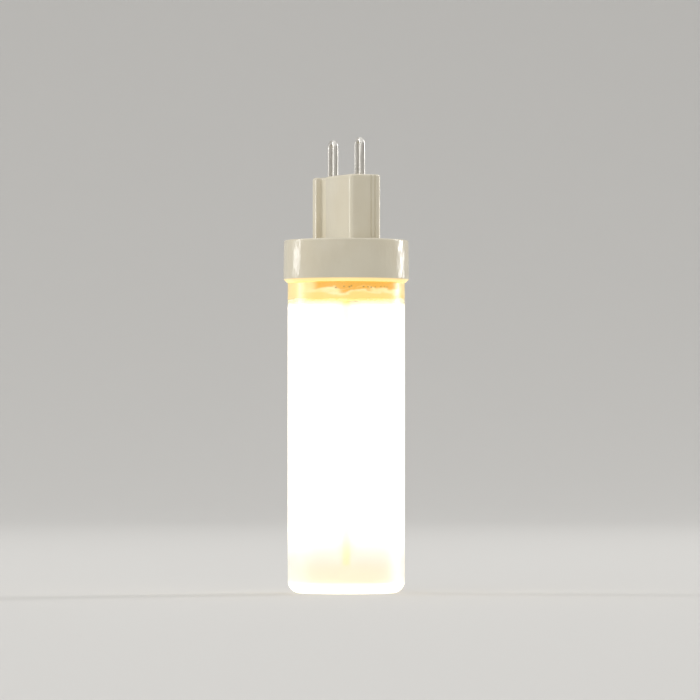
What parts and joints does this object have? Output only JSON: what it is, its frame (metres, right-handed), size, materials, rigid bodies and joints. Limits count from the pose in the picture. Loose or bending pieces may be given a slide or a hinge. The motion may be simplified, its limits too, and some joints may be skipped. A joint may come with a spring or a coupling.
{
  "type": "led capsule bulb",
  "caption": "Lit bi-pin capsule bulb: a frosted glass tube with a flat rounded end, glued on a glossy ivory ceramic collar with a channelled blade and wire contact loops.",
  "frame": {"origin": "middle of the cover's flat end face, on which the bulb stands", "axes": "+Z along the bulb from the end face to the contact loops, +X along the width of the blade, from one contact loop to the other"},
  "size_m": [0.0186, 0.0186, 0.0672],
  "materials": {
    "frosted_glass": "frosted, lit from inside",
    "ivory_ceramic": "glossy ivory glaze with a fine orange-peel surface",
    "contact_nickel": "nickel-plated wire",
    "silicone_glue": "clouded silicone",
    "white_board": "white solder mask",
    "led_body": "moulded white",
    "phosphor": "yellow phosphor fill",
    "chip_black": "black moulding",
    "capacitor_tan": "fired tan",
    "resistor_grey": "dark coat on ceramic",
    "solder": "bright tin"
  },
  "bodies": {
    "root": {"frosted_cover": "frosted_glass", "ceramic_base": "ivory_ceramic", "contact_loop_left": "contact_nickel", "contact_loop_right": "contact_nickel", "cover_adhesive": "silicone_glue", "driver_board": "white_board", "led_board": "white_board", "leds_front": "led_body", "leds_back": "led_body", "phosphor_front": "phosphor", "phosphor_back": "phosphor", "bridge_rectifier": "chip_black", "driver_chip": "chip_black", "filter_capacitor": "capacitor_tan", "chip_fuse": "resistor_grey", "sense_resistors": "resistor_grey", "board_solder": "solder", "contact_solder": "solder"}
  },
  "joints": []
}
